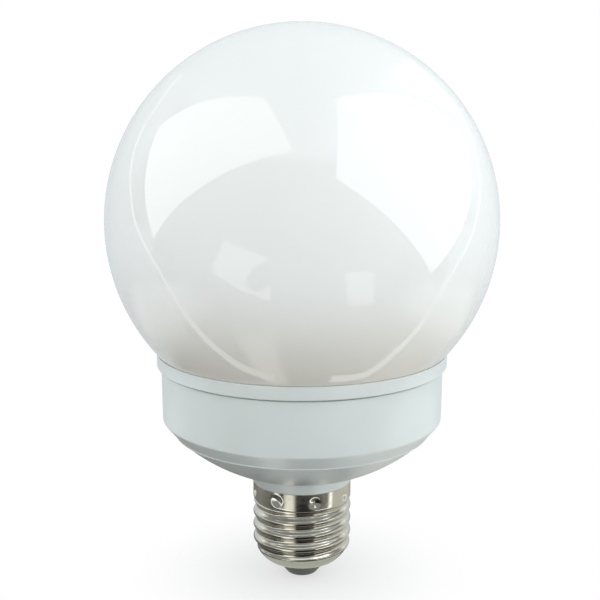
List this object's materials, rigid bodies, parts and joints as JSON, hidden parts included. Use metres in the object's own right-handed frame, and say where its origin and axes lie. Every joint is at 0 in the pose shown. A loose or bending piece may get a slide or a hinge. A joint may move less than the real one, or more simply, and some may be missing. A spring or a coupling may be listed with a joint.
{
  "type": "globe bulb",
  "caption": "Large opal globe lamp with a white collar and housing, a bowl-shaped underside and a rolled Edison screw cap.",
  "frame": {"origin": "lowest point of the centre contact, on the lamp's axis", "axes": "+Z along the lamp's axis from the cap to the globe, -Y towards the viewer of the picture"},
  "size_m": [0.1, 0.1, 0.1457],
  "materials": {
    "opal_glass": "glossy opal white glass",
    "white_housing_plastic": "satin moulded white PBT",
    "nickel_plate": "bright nickel-plated rolled brass",
    "insulator_dark": "dark grey-green vitrified insulator"
  },
  "bodies": {
    "root": {"globe": "opal_glass", "collar_ring": "white_housing_plastic", "housing": "white_housing_plastic", "screw_shell": "nickel_plate", "insulator": "insulator_dark", "centre_contact": "nickel_plate"}
  },
  "joints": []
}
